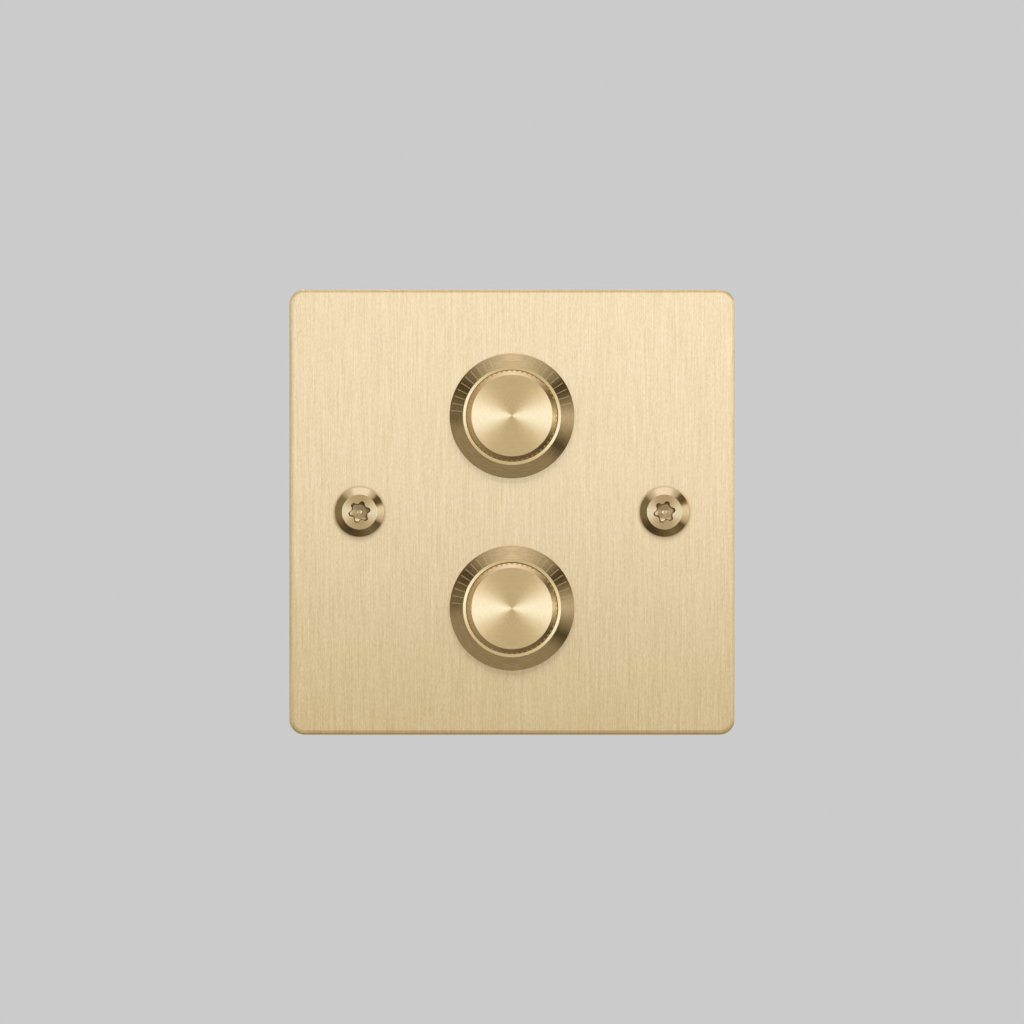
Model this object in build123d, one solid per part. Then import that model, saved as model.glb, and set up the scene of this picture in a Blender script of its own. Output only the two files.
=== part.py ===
from build123d import *
import math
import os

# Two-gang push-and-turn dimmer switch on a square brass wall plate, in millimetres.
# Pieces are modelled face on: x to the right, y up, z towards the person in front of the wall,
# with z = 0 on the wall. placed() turns them so that z is up and the face looks along -y.
# A gang is modelled round its own spindle, at x = y = 0, and then put in its place.

# Front plate
plate_size = 88.0
plate_thickness = 3.0
plate_corner_radius = 3.0
plate_edge_round = 1.8
plate_edge_reach = 0.9
relief_depth = 0.6
relief_corner_radius = 4.0
relief_gap = 1.0
relief_side = 5.85

# Places of the gangs and of the wall fixings
gang_pitch = 38.0
fixing_centres = 60.3

# Fixing screws, M3.5 with a waisted neck, a proud chamfered head and a six-lobe recess
fixing_thread_diameter = 3.5
fixing_neck_diameter = 3.0
fixing_hole_clearance = 0.25
fixing_length = 40.0
fixing_head_diameter = 9.8
fixing_flat_diameter = 6.9
fixing_head_rim = 0.8
fixing_cone_rise = 0.87
fixing_tip_chamfer = 0.6
lobe_count = 6
lobe_tip_diameter = 4.5
lobe_root_diameter = 3.25
lobe_round = 0.42
lobe_hollow_radius = 0.72
lobe_turn = 12.5
lobe_depth = 1.3
lobe_cone_depth = 0.85

# Knob
knob_diameter = 17.9
knob_projection = 20.0
knob_chamfer_width = 0.95
knob_chamfer_depth = 0.72
knob_cap = 5.0
knob_clearance = 0.7
knob_skirt = 1.6
knurl_teeth = 54
knurl_depth = 0.35
knurl_gap = 0.5
knurl_chamfer = 0.3
neck_relief = 0.1
grub_diameter = 3.0
grub_length = 6.0
grub_rise = 4.0
grub_hex = 1.5
grub_hex_depth = 2.0

# Dial ring
dial_gap = 0.12
dial_land = 0.63
dial_cone_run = 2.65
dial_cone_rise = 2.3
dial_rim = 0.9
dial_cup_wall = 0.85
dial_web = 1.0
dial_cup_fit = 0.05
dial_key_width = 2.0
dial_key_depth = 0.8
tick_count = 11
tick_first_angle = 15.0
tick_step_angle = 7.0
tick_width = 0.2
tick_depth = 0.12
tick_land_margin = 0.08
tick_rim_margin = 0.32

# Spindle, bush, nut and circlip
spindle_diameter = 6.0
spindle_flat = 1.5
spindle_chamfer = 0.4
spindle_end_gap = 0.5
tail_flat = 2.0
tail_clearance = 0.4
running_fit = 0.05
bush_wall = 0.95
bush_flange = 1.0
bush_stand_out = 0.6
bush_hole_clearance = 0.1
nut_wall = 1.0
nut_thickness = 2.4
washer_width = 2.4
washer_thickness = 0.4
circlip_thickness = 0.6
circlip_groove_depth = 0.6
circlip_width = 2.1
circlip_slot = 3.0
circlip_gap = 0.1
contact_gap = 0.05

# Motion
turn_range = 290.0
push_travel = 1.5

# Rotary control behind the bush
control_wall = 0.9
control_gap = 0.25
control_floor = 1.0
control_corner_radius = 1.5
rotor_web = 2.2
rotor_thickness = 2.0
rotor_gap = 0.3
lug_height = 2.1
lug_angle = 20.0
stop_clearance = 2.0
track_thickness = 0.8
wiper_height = 2.0
wiper_strip = 0.3
wiper_width = 2.4
wiper_tip = 0.4

# Circuit board
board_thickness = 1.6
board_gap = 0.3

# Push switch behind the board
plunger_radius = 4.25
plunger_thickness = 2.0
plunger_setback = 0.2
plunger_gap = 0.25
stem_radius = 1.8
stem_length = 3.0
spring_length = 5.8
spring_wire = 0.6
spring_turns = 5.0
spring_gap = 0.8
switch_wall = 2.5
switch_floor = 1.2
switch_gap = 0.4

# Module case and heat sink
case_wall = 1.6
case_corner_radius = 2.0
case_edge_round = 0.8
boss_radius = 2.6
boss_inset = 1.4
ledge_width = 1.2
ledge_length = 8.0
sink_thickness = 1.5
rib_thickness = 1.8
rib_inset = 2.8
rib_clearance = 1.8
rib_overhang = 1.2
case_screw_head_radius = 1.9
case_screw_radius = 0.85
case_screw_length = 8.0
case_screw_fit = 0.05
part_gap = 1.7

# Components on the board
transistor_width = 6.6
transistor_thickness = 2.3
transistor_gap = 1.2
transistor_top_gap = 0.9
transistor_leg = 0.7
transistor_leg_pitch = 2.3
leg_length = 2.3
choke_radius = 6.0
choke_bore = 2.8
choke_height = 6.0
choke_round = 0.9
choke_offset = 3.5
capacitor_radius = 5.0
capacitor_round = 0.5
capacitor_end_gap = 0.6
capacitor_offset = 6.5
film_width = 6.0
film_height = 13.0
film_inset = 2.5
film_top_gap = 1.0
film_round = 0.6

# Terminals
terminal_count = 3
cage_width = 6.4
cage_wall = 1.0
cage_thread = 1.9
cage_end_wall = 1.2
cage_gap = 0.1
cage_recess = 1.0
wire_bore_diameter = 3.2
strip_wall = 1.2
strip_base = 1.5
strip_guard = 1.0
strip_gap = 0.6
strip_clearance = 0.2
barrier_width = 1.35
clamp_screw_diameter = 3.0
clamp_screw_proud = 0.6
clamp_screw_gap = 0.1
clamp_slot_width = 0.7
clamp_slot_depth = 0.8

# Earth terminal on the back of the plate
earth_width = 7.0
earth_height = 8.0
earth_depth = 9.0
earth_gap = 2.5
earth_bore_diameter = 3.4
earth_bore_depth = 4.6

# Levels along z, from the front to the back
front_z = plate_thickness
seat_z = relief_depth
land_z = front_z + dial_rim + dial_cone_rise
web_z = seat_z + dial_web
washer_z = web_z + washer_thickness
nut_z = washer_z + nut_thickness
bush_z = nut_z + bush_stand_out
knob_z = front_z + knob_projection
skirt_z = land_z - knob_skirt
knurl_z = land_z + push_travel + knurl_gap
recess_z = bush_z + push_travel + knob_clearance
bore_end_z = knob_z - knob_cap
spindle_z = bore_end_z - spindle_end_gap
grub_z = recess_z + grub_rise
sink_z = seat_z - sink_thickness
flange_z = sink_z - bush_flange
clip_front_z = flange_z - circlip_gap
clip_back_z = clip_front_z - circlip_thickness
rotor_front_z = clip_back_z - push_travel - rotor_gap
rotor_back_z = rotor_front_z - rotor_thickness
track_z = rotor_back_z - wiper_height
control_floor_z = track_z - track_thickness
board_front_z = control_floor_z - control_floor
board_back_z = board_front_z - board_thickness
plunger_z = board_back_z - plunger_setback
plunger_back_z = plunger_z - plunger_thickness
switch_floor_z = plunger_back_z - spring_length
switch_back_z = switch_floor_z - switch_floor
case_floor_z = switch_back_z - switch_gap
case_back_z = case_floor_z - case_wall

# Radii about a spindle
spindle_r = spindle_diameter / 2
bush_bore_r = spindle_r + running_fit
bush_r = bush_bore_r + bush_wall
bush_hole_r = bush_r + bush_hole_clearance
nut_flats = 2 * (bush_r + nut_wall)
nut_corner_r = nut_flats / math.sqrt(3)
recess_r = nut_corner_r + knob_clearance
knob_r = knob_diameter / 2
neck_r = knob_r - knurl_depth - neck_relief
dial_bore_r = knob_r + dial_gap
land_r = dial_bore_r + dial_land
dial_r = land_r + dial_cone_run
cup_r = dial_bore_r + dial_cup_wall
groove_r = spindle_r - circlip_groove_depth
tail_hole_r = spindle_r + tail_clearance
rotor_r = spindle_r + rotor_web
lug_r = rotor_r + lug_height
control_r = lug_r + control_gap
control_size = 2 * (control_r + control_wall)
switch_bore_r = plunger_radius + plunger_gap
switch_size = 2 * (switch_bore_r + switch_wall)
spring_r = stem_radius + spring_gap + spring_wire / 2

# Terminal block and module case, sized round what they hold
wire_bore_r = wire_bore_diameter / 2
clamp_screw_r = clamp_screw_diameter / 2
cell_width = cage_width + 2 * cage_gap
cage_depth = cage_wall + wire_bore_diameter + cage_thread
strip_depth = strip_wall + cage_gap + cage_depth + strip_guard
strip_width = terminal_count * cell_width + (terminal_count + 1) * barrier_width
case_height = switch_size + 2 * (strip_gap + strip_depth)
case_width = switch_size + 2 * (part_gap + 2 * choke_radius + part_gap + case_wall)
strip_top = case_height / 2
strip_low = strip_top - strip_depth
cage_low = strip_low + strip_wall + cage_gap
cage_top = cage_low + cage_depth
cage_front_z = board_back_z - strip_base
cage_back_z = case_back_z + cage_recess
wire_bore_length = cage_front_z - cage_back_z - cage_end_wall
wire_bore_v = cage_low + cage_wall + wire_bore_r
boss_u = case_width / 2 - case_wall - boss_inset
boss_v = case_height / 2 - case_wall - boss_inset
relief_width = fixing_centres + 2 * relief_side
relief_height = gang_pitch + case_height + 2 * relief_gap
gang_y = gang_pitch / 2
earth_x = -(case_width / 2 + earth_gap + earth_width / 2)


def cylinder(radius, low, high):
    """Upright cylinder between two levels."""
    return Pos(0, 0, (low + high) / 2) * Cylinder(radius, high - low)


def block(x_low, x_high, y_low, y_high, z_low, z_high):
    """Block between six planes."""
    centre = Pos((x_low + x_high) / 2, (y_low + y_high) / 2, (z_low + z_high) / 2)
    return centre * Box(x_high - x_low, y_high - y_low, z_high - z_low)


def prism(outline, low, high):
    """Flat outline raised from one level to another."""
    return Pos(0, 0, low) * extrude(outline, amount=high - low)


def turned(*points):
    """Turned piece from its (radius, level) outline."""
    outline = Plane.XZ * Polyline(*points, close=True)
    return revolve(make_face(outline.edges()), Axis.Z)


def sector(inner, outer, middle_angle, width_angle):
    """Flat piece of a ring."""
    reach = 2 * outer
    corners = [(0, 0)]
    for side in (-0.5, 0.5):
        angle = math.radians(middle_angle + side * width_angle)
        corners.append((reach * math.cos(angle), reach * math.sin(angle)))
    return (Circle(outer) - Circle(inner)) & Polygon(*corners, align=None)


def flatted(radius, half_width):
    """Round section with two flats, left and right."""
    return Circle(radius) & Rectangle(2 * half_width, 2 * radius)


def front_plate():
    """Solid plate with a soft front edge, and a relief so that only its rim lies on the wall."""
    outline = RectangleRounded(plate_size, plate_size, plate_corner_radius)
    spread = plate_edge_round - plate_edge_reach
    blank_size = plate_size + 2 * spread
    blank = prism(RectangleRounded(blank_size, blank_size, plate_corner_radius + spread), 0, front_z)
    blank = fillet(blank.edges().group_by(Axis.Z)[-1], plate_edge_round)
    plate = blank & prism(outline, 0, front_z)
    plate -= prism(RectangleRounded(relief_width, relief_height, relief_corner_radius), 0, seat_z)
    key_half = dial_key_width / 2 + dial_cup_fit
    for side in (-1, 1):
        hole = cylinder(cup_r + dial_cup_fit, 0, front_z)
        hole += block(-key_half, key_half, -cup_r - dial_key_depth - dial_cup_fit, 0, 0, front_z)
        plate -= Pos(0, side * gang_y, 0) * hole
        fixing_r = fixing_thread_diameter / 2 + fixing_hole_clearance
        plate -= Pos(side * fixing_centres / 2, 0, 0) * cylinder(fixing_r, 0, front_z)
    return plate


def lobe_outline():
    """Six-lobe driver recess: round tips joined by hollow flanks."""
    tip_r = lobe_tip_diameter / 2
    root_r = lobe_root_diameter / 2
    outline = Circle((tip_r + root_r) / 2)
    for index in range(lobe_count):
        turn = 360 * index / lobe_count
        outline += Rot(Z=turn) * Pos(tip_r - lobe_round, 0) * Circle(lobe_round)
    for index in range(lobe_count):
        turn = 360 * (index + 0.5) / lobe_count
        outline -= Rot(Z=turn) * Pos(root_r + lobe_hollow_radius, 0) * Circle(lobe_hollow_radius)
    return outline


def fixing_screw():
    head_r = fixing_head_diameter / 2
    flat_r = fixing_flat_diameter / 2
    neck_r = fixing_neck_diameter / 2
    thread_r = fixing_thread_diameter / 2
    rim_z = front_z + fixing_head_rim
    top_z = rim_z + fixing_cone_rise
    neck_z = relief_depth / 2
    tip_z = front_z - fixing_length
    screw = turned(
        (0, top_z), (flat_r, top_z), (head_r, rim_z), (head_r, front_z), (neck_r, front_z),
        (neck_r, neck_z), (thread_r, neck_z), (thread_r, tip_z + fixing_tip_chamfer),
        (thread_r - fixing_tip_chamfer, tip_z), (0, tip_z),
    )
    floor_z = top_z - lobe_depth
    screw -= prism(Rot(Z=lobe_turn) * lobe_outline(), floor_z, top_z)
    cone_r = lobe_root_diameter / 2
    screw -= turned((0, floor_z), (cone_r, floor_z), (0, floor_z - lobe_cone_depth))
    return screw


def dial_ring():
    """Cone with a cup behind it that holds the nut, and engraved lines either side of the top."""
    ring = turned(
        (bush_hole_r, seat_z), (cup_r, seat_z), (cup_r, front_z), (dial_r, front_z),
        (dial_r, front_z + dial_rim), (land_r, land_z), (dial_bore_r, land_z),
        (dial_bore_r, web_z), (bush_hole_r, web_z),
    )
    key_half = dial_key_width / 2
    cup_middle = cup_r - dial_cup_wall / 2
    ring += block(-key_half, key_half, -cup_r - dial_key_depth, -cup_middle, seat_z, front_z)
    slope = math.degrees(math.atan2(dial_cone_rise, dial_cone_run))
    inner = land_r + tick_land_margin
    outer = dial_r - tick_rim_margin
    middle = (inner + outer) / 2
    middle_z = land_z - (middle - land_r) * dial_cone_rise / dial_cone_run
    length = (outer - inner) / math.cos(math.radians(slope))
    tick = Pos(middle, 0, middle_z) * Rot(Y=slope) * Box(length, tick_width, 2 * tick_depth)
    for index in range(tick_count):
        angle = tick_first_angle + index * tick_step_angle
        ring -= Rot(Z=90 - angle) * tick
        ring -= Rot(Z=90 + angle) * tick
    return ring


def knob():
    """Turned knob: spun face, knurled grip, plain skirt in the dial ring, hollow over the nut."""
    body = turned(
        (0, knob_z), (knob_r - knob_chamfer_width, knob_z), (knob_r, knob_z - knob_chamfer_depth),
        (knob_r, knurl_z + knurl_chamfer), (knob_r - knurl_chamfer, knurl_z), (neck_r, knurl_z),
        (neck_r, skirt_z), (recess_r, skirt_z), (recess_r, recess_z), (0, recess_z),
    )
    teeth = []
    for index in range(2 * knurl_teeth):
        radius = knob_r - knurl_depth if index % 2 == 0 else knob_r
        angle = math.radians(90 + 180 * index / knurl_teeth)
        teeth.append((radius * math.cos(angle), radius * math.sin(angle)))
    body -= prism(Circle(knob_r + knurl_depth) - Polygon(*teeth, align=None), knurl_z, knob_z)
    bore_r = spindle_r + running_fit
    flat = spindle_flat + running_fit
    bore = Circle(bore_r) - Pos(0, -flat - bore_r) * Rectangle(2 * bore_r, 2 * bore_r)
    body -= prism(bore, recess_z, bore_end_z)
    grub_hole = cylinder(grub_diameter / 2 + running_fit, 0, knob_r + knurl_depth)
    body -= Pos(0, 0, grub_z) * Rot(X=90) * grub_hole
    return body


def knob_grub_screw():
    """Set screw from below, its flat end on the flat of the spindle."""
    outer = spindle_flat + grub_length
    screw = cylinder(grub_diameter / 2, spindle_flat, outer)
    socket = RegularPolygon(grub_hex / 2, 6, major_radius=False)
    screw -= prism(socket, outer - grub_hex_depth, outer)
    return Pos(0, 0, grub_z) * Rot(X=90) * screw


def spindle():
    tail_z = plunger_z + contact_gap
    rod = turned(
        (0, spindle_z), (spindle_r - spindle_chamfer, spindle_z),
        (spindle_r, spindle_z - spindle_chamfer), (spindle_r, clip_front_z + contact_gap),
        (groove_r, clip_front_z + contact_gap), (groove_r, clip_back_z - contact_gap),
        (spindle_r, clip_back_z - contact_gap), (spindle_r, tail_z), (0, tail_z),
    )
    rod -= block(-spindle_r, spindle_r, -spindle_diameter, -spindle_flat, recess_z, spindle_z)
    tail = prism(Circle(spindle_diameter) - flatted(spindle_r, tail_flat),
                 tail_z, clip_back_z - contact_gap)
    return rod - tail


def spindle_circlip():
    inner = groove_r + contact_gap
    clip = Circle(groove_r + circlip_width) - Circle(inner)
    clip -= Pos(0, circlip_width + groove_r) * Rectangle(circlip_slot, 2 * (circlip_width + groove_r))
    return prism(clip, clip_back_z, clip_front_z)


def threaded_bush():
    flange = RectangleRounded(control_size, control_size, control_corner_radius)
    bush = prism(flange, flange_z, sink_z) + cylinder(bush_r, flange_z, bush_z)
    return bush - cylinder(bush_bore_r, flange_z, bush_z)


def bush_washer():
    ring = Circle(bush_r + washer_width) - Circle(bush_hole_r)
    return prism(ring, web_z, washer_z)


def bush_nut():
    hexagon = RegularPolygon(nut_flats / 2, 6, major_radius=False)
    return prism(hexagon - Circle(bush_r + running_fit), washer_z, nut_z)


def control_housing():
    """Moulded cup with a hole for the spindle's tail and the end stop of the turn."""
    square = RectangleRounded(control_size, control_size, control_corner_radius)
    cup = prism(square, board_front_z, flange_z)
    cup -= cylinder(control_r, control_floor_z, flange_z)
    cup -= cylinder(tail_hole_r, board_front_z, control_floor_z)
    stop_angle = 360 - turn_range - lug_angle - 2 * stop_clearance
    stop = sector(rotor_r + control_gap, control_r + control_wall / 2, -90, stop_angle)
    return cup + prism(stop, rotor_back_z, rotor_front_z)


def wiper_rotor():
    """Disc that turns with the flatted tail and lets it slide, with the lug that meets the stop."""
    disc = Circle(rotor_r) + sector(rotor_r - rotor_web / 2, lug_r, 90, lug_angle)
    disc -= flatted(spindle_r + running_fit, tail_flat + running_fit)
    return prism(disc, rotor_back_z, rotor_front_z)


def wiper_finger():
    """Bent strip under the rotor, its tip just over the track."""
    root = spindle_r + tail_clearance
    bend = rotor_r - wiper_strip
    tip = control_r - wiper_tip
    tip_z = track_z + contact_gap
    outline = Polyline(
        (root, rotor_back_z), (bend, rotor_back_z), (tip, tip_z), (tip - wiper_tip, tip_z),
        (bend - wiper_strip, rotor_back_z - wiper_strip), (root, rotor_back_z - wiper_strip),
        close=True,
    )
    strip = extrude(make_face((Plane.XZ * outline).edges()), amount=wiper_width / 2, both=True)
    return Rot(Z=90) * strip


def resistance_track():
    wafer = Circle(control_r - control_gap) - Circle(tail_hole_r)
    return prism(wafer, control_floor_z, track_z)


def circuit_board():
    inner_width = case_width - 2 * (case_wall + board_gap)
    inner_height = case_height - 2 * (case_wall + board_gap)
    board = Rectangle(inner_width, inner_height) - Circle(tail_hole_r)
    for u in (-boss_u, boss_u):
        for v in (-boss_v, boss_v):
            board -= Pos(u, v) * Circle(boss_radius + board_gap)
    board = prism(board, board_back_z, board_front_z)
    return board.solids().sort_by(SortBy.VOLUME)[-1]


def switch_housing():
    square = RectangleRounded(switch_size, switch_size, control_corner_radius)
    housing = prism(square, switch_back_z, board_back_z)
    return housing - cylinder(switch_bore_r, switch_floor_z, board_back_z)


def switch_plunger():
    cap = cylinder(plunger_radius, plunger_back_z, plunger_z)
    return cap + cylinder(stem_radius, plunger_back_z - stem_length, plunger_back_z)


def return_spring():
    wire_r = spring_wire / 2
    low = switch_floor_z + wire_r + contact_gap
    height = spring_length - spring_wire - 2 * contact_gap
    path = Helix(height / spring_turns, height, spring_r)
    section = Plane(origin=path @ 0, z_dir=path % 0) * Circle(wire_r)
    return Pos(0, 0, low) * sweep(section, path=path)


def heat_sink():
    """Cast plate over the front of the case with a rib for the transistors."""
    plate = prism(RectangleRounded(case_width, case_height, case_corner_radius), sink_z, seat_z)
    rib_u = -case_width / 2 + case_wall + rib_inset
    rib_half = transistor_width + transistor_gap / 2 + rib_overhang
    rib_low_z = board_front_z + rib_clearance
    plate += block(rib_u, rib_u + rib_thickness, -rib_half, rib_half, rib_low_z, sink_z)
    plate -= cylinder(bush_hole_r, sink_z, seat_z)
    for place in boss_places():
        plate -= place * case_screw_shape(2 * case_screw_fit)
    return plate


def boss_places():
    """The four corners where a screw holds the heat sink on the case."""
    return [Pos(u, v, 0) for u in (-boss_u, boss_u) for v in (-boss_v, boss_v)]


def case_screw_shape(grown):
    """Countersunk screw just under the front of the heat sink, or its hole when grown."""
    top_z = seat_z if grown else seat_z - case_screw_fit
    head_r = case_screw_head_radius + grown
    shank_r = case_screw_radius + grown
    end_z = seat_z - case_screw_length
    return turned(
        (0, top_z), (head_r, top_z), (shank_r, top_z - head_r + shank_r), (shank_r, end_z), (0, end_z),
    )


def transistors():
    """Two flat packages on the rib, each with three legs down to the board."""
    face_u = -case_width / 2 + case_wall + rib_inset + rib_thickness
    leg_u = face_u + transistor_thickness / 2
    top_z = sink_z - transistor_top_gap
    low_z = board_front_z + leg_length
    half_leg = transistor_leg / 2
    packages = []
    for side in (-1, 1):
        middle = side * (transistor_width + transistor_gap) / 2
        package = block(face_u, face_u + transistor_thickness, middle - transistor_width / 2,
                        middle + transistor_width / 2, low_z, top_z)
        for place in (-1, 0, 1):
            v = middle + place * transistor_leg_pitch
            package += block(leg_u - half_leg, leg_u + half_leg, v - half_leg, v + half_leg,
                             board_front_z, low_z)
        packages.append(package)
    return packages


def terminal_notch():
    """Room in the case's rear corner for the terminal strip."""
    half = strip_width / 2 + strip_clearance
    return block(-half, half, strip_low - strip_clearance, case_height,
                 case_back_z - case_wall, board_back_z + strip_clearance)


def module_case():
    """Moulded box, open to the front, with screw bosses and ledges for the board."""
    case = prism(RectangleRounded(case_width, case_height, case_corner_radius), case_back_z, sink_z)
    case = fillet(case.edges().group_by(Axis.Z)[0], case_edge_round)
    hollow = Rectangle(case_width - 2 * case_wall, case_height - 2 * case_wall)
    case -= prism(hollow, case_floor_z, sink_z)
    wall_u = case_width / 2 - case_wall
    for side in (-1, 1):
        near = side * (wall_u - ledge_width)
        far = side * (wall_u + case_wall / 2)
        case += block(min(near, far), max(near, far), -ledge_length / 2, ledge_length / 2,
                      case_floor_z, board_back_z)
    box = prism(RectangleRounded(case_width, case_height, case_corner_radius), case_floor_z, sink_z)
    for place in boss_places():
        case += place * cylinder(boss_radius, case_floor_z, sink_z) & box
    for place in boss_places():
        case -= place * case_screw_shape(case_screw_fit)
    return case - terminal_notch()


def choke():
    """Wound ring core standing on the back of the board."""
    low_z = board_back_z - choke_height
    ring = cylinder(choke_radius, low_z, board_back_z) - cylinder(choke_bore, low_z, board_back_z)
    ring = fillet(ring.edges().filter_by(GeomType.CIRCLE), choke_round)
    return Pos(-(switch_size / 2 + part_gap + choke_radius), -choke_offset, 0) * ring


def capacitor():
    low_z = case_floor_z + capacitor_end_gap
    can = cylinder(capacitor_radius, low_z, board_back_z)
    can = fillet(can.edges().group_by(Axis.Z)[0], capacitor_round)
    return Pos(switch_size / 2 + part_gap + capacitor_radius, -capacitor_offset, 0) * can


def film_capacitor():
    u_low = control_size / 2 + film_inset
    box = block(u_low, u_low + film_width, -film_height / 2, film_height / 2,
                board_front_z, sink_z - film_top_gap)
    return fillet(box.edges().filter_by(Axis.Z), film_round)


def cell_places():
    """Middle of each terminal's cell along the strip."""
    pitch = cell_width + barrier_width
    return [(index - (terminal_count - 1) / 2) * pitch for index in range(terminal_count)]


def terminal_strip():
    """Moulded comb: a base on the board and barriers between the clamps."""
    half = strip_width / 2
    strip = block(-half, half, strip_low, strip_top, case_back_z, board_back_z)
    for u in cell_places():
        strip -= block(u - cell_width / 2, u + cell_width / 2, strip_low + strip_wall, strip_top,
                       case_back_z, cage_front_z)
    return strip


def terminal_cages():
    """Brass clamp blocks with a wire bore from the back and a screw hole from the side."""
    cages = []
    clamp_z = cage_back_z + wire_bore_length / 2
    for u in cell_places():
        cage = block(u - cage_width / 2, u + cage_width / 2, cage_low, cage_top, cage_back_z, cage_front_z)
        bore = cylinder(wire_bore_r, cage_back_z, cage_back_z + wire_bore_length)
        cage -= Pos(u, wire_bore_v, 0) * bore
        hole = cylinder(clamp_screw_r + running_fit, 0, cage_depth)
        cage -= Pos(u, wire_bore_v, clamp_z) * Rot(X=-90) * hole
        cages.append(cage)
    return cages


def clamp_screw(low, high):
    """Slotted headless clamp screw between two levels."""
    screw = cylinder(clamp_screw_r, low, high)
    slot = block(-clamp_screw_r, clamp_screw_r, -clamp_slot_width / 2, clamp_slot_width / 2,
                 high - clamp_slot_depth, high)
    return screw - slot


def terminal_screws():
    clamp_z = cage_back_z + wire_bore_length / 2
    low = wire_bore_r + clamp_screw_gap
    high = cage_top - wire_bore_v + clamp_screw_proud
    screw = clamp_screw(low, high)
    return [Pos(u, wire_bore_v, clamp_z) * Rot(X=-90) * screw for u in cell_places()]


def earth_terminal():
    """Brass clamp on the back of the plate, its wire bore upright."""
    half_height = earth_height / 2
    clamp = block(-earth_width / 2, earth_width / 2, -half_height, half_height,
                  seat_z - earth_depth, seat_z)
    bore = Rot(X=90) * cylinder(earth_bore_diameter / 2, -half_height, half_height)
    bore_z = seat_z - earth_bore_depth
    clamp -= Pos(0, 0, bore_z) * bore
    clamp -= cylinder(clamp_screw_r + running_fit, seat_z - earth_depth, bore_z)
    return Pos(earth_x, gang_y, 0) * clamp


def earth_terminal_screw():
    low = earth_bore_diameter / 2 + clamp_screw_gap
    high = earth_depth - earth_bore_depth + clamp_screw_proud
    screw = Pos(0, 0, seat_z - earth_bore_depth) * Rot(X=180) * clamp_screw(low, high)
    return Pos(earth_x, gang_y, 0) * screw


def placed(piece):
    """Face-on piece turned upright: y becomes z, and z becomes -y."""
    return Rot(X=90) * piece


def write(name, pieces):
    """One file for one node, which holds one solid or a group of like solids."""
    solids = []
    for piece in pieces:
        solids.extend(placed(piece).solids())
    export_step(solids[0] if len(solids) == 1 else Compound(solids), f"parts/{name}.step")


# Gangs: what shows in front keeps its way up, and the lower module is turned end for end,
# so that both rows of terminals face away from the middle.
gangs = {
    "upper": (Pos(0, gang_y, 0), Pos(0, gang_y, 0)),
    "lower": (Pos(0, -gang_y, 0), Pos(0, -gang_y, 0) * Rot(Z=180)),
}
front_pieces = [dial_ring, knob, knob_grub_screw, spindle, spindle_circlip]
module_pieces = [
    threaded_bush, control_housing, wiper_rotor, wiper_finger, resistance_track, circuit_board,
    switch_housing, switch_plunger, return_spring, heat_sink, module_case, choke, capacitor,
    film_capacitor, terminal_strip,
]
module_groups = [transistors, terminal_cages]

os.makedirs("parts", exist_ok=True)

write("front_plate", [front_plate()])
write("fixing_screws", [Pos(side * fixing_centres / 2, 0, 0) * fixing_screw() for side in (-1, 1)])
write("earth_terminal", [earth_terminal()])
write("earth_terminal_screw", [earth_terminal_screw()])

for make in front_pieces:
    piece = make()
    for gang, (front_place, module_place) in gangs.items():
        write(f"{make.__name__}_{gang}", [front_place * piece])

for make in module_pieces:
    piece = make()
    for gang, (front_place, module_place) in gangs.items():
        write(f"{make.__name__}_{gang}", [module_place * piece])

for make in module_groups:
    group = make()
    for gang, (front_place, module_place) in gangs.items():
        write(f"{make.__name__}_{gang}", [module_place * piece for piece in group])

places = [module_place for front_place, module_place in gangs.values()]
write("bush_washers", [place * bush_washer() for place in places])
write("bush_nuts", [place * bush_nut() for place in places])
case_screw = case_screw_shape(0)
write("case_screws", [place * corner * case_screw for place in places for corner in boss_places()])
write("terminal_screws", [place * screw for place in places for screw in terminal_screws()])
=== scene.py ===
import math
import bmesh
import bpy
from mathutils import Matrix, Vector


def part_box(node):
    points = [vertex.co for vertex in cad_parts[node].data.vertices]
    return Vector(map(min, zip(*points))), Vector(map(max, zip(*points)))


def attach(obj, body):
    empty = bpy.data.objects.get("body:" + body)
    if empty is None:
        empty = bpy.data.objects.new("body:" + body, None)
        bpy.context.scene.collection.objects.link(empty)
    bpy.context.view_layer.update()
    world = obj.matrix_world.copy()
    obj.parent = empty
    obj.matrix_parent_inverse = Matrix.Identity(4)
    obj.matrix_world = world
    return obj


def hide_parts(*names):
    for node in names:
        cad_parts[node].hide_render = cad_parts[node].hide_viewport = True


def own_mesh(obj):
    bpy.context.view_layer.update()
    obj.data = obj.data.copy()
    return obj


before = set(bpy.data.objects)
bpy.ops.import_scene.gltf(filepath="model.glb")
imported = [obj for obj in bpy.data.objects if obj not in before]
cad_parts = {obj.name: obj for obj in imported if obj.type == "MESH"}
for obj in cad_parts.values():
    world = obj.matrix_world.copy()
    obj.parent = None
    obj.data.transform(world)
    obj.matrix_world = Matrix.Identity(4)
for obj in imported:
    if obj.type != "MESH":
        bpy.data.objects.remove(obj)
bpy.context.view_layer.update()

# New pieces are modelled face on in millimetres: x to the right, y up, z towards the viewer.
MM = 0.001
METRE = 1000
FACE_ON = Matrix.Rotation(math.pi / 2, 4, "X") @ Matrix.Scale(MM, 4)

# Limits for finding faces and merging points, sharpest smooth bend, and radius of a closed middle
NEAR = 0.001
MERGE = 0.0005
SMOOTH_ANGLE = 10
POLE = 0.0001

# Broken edges on turned corners, and on the flat of a screw head
EDGE = 0.03
HEAD_EDGE = 0.008

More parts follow.
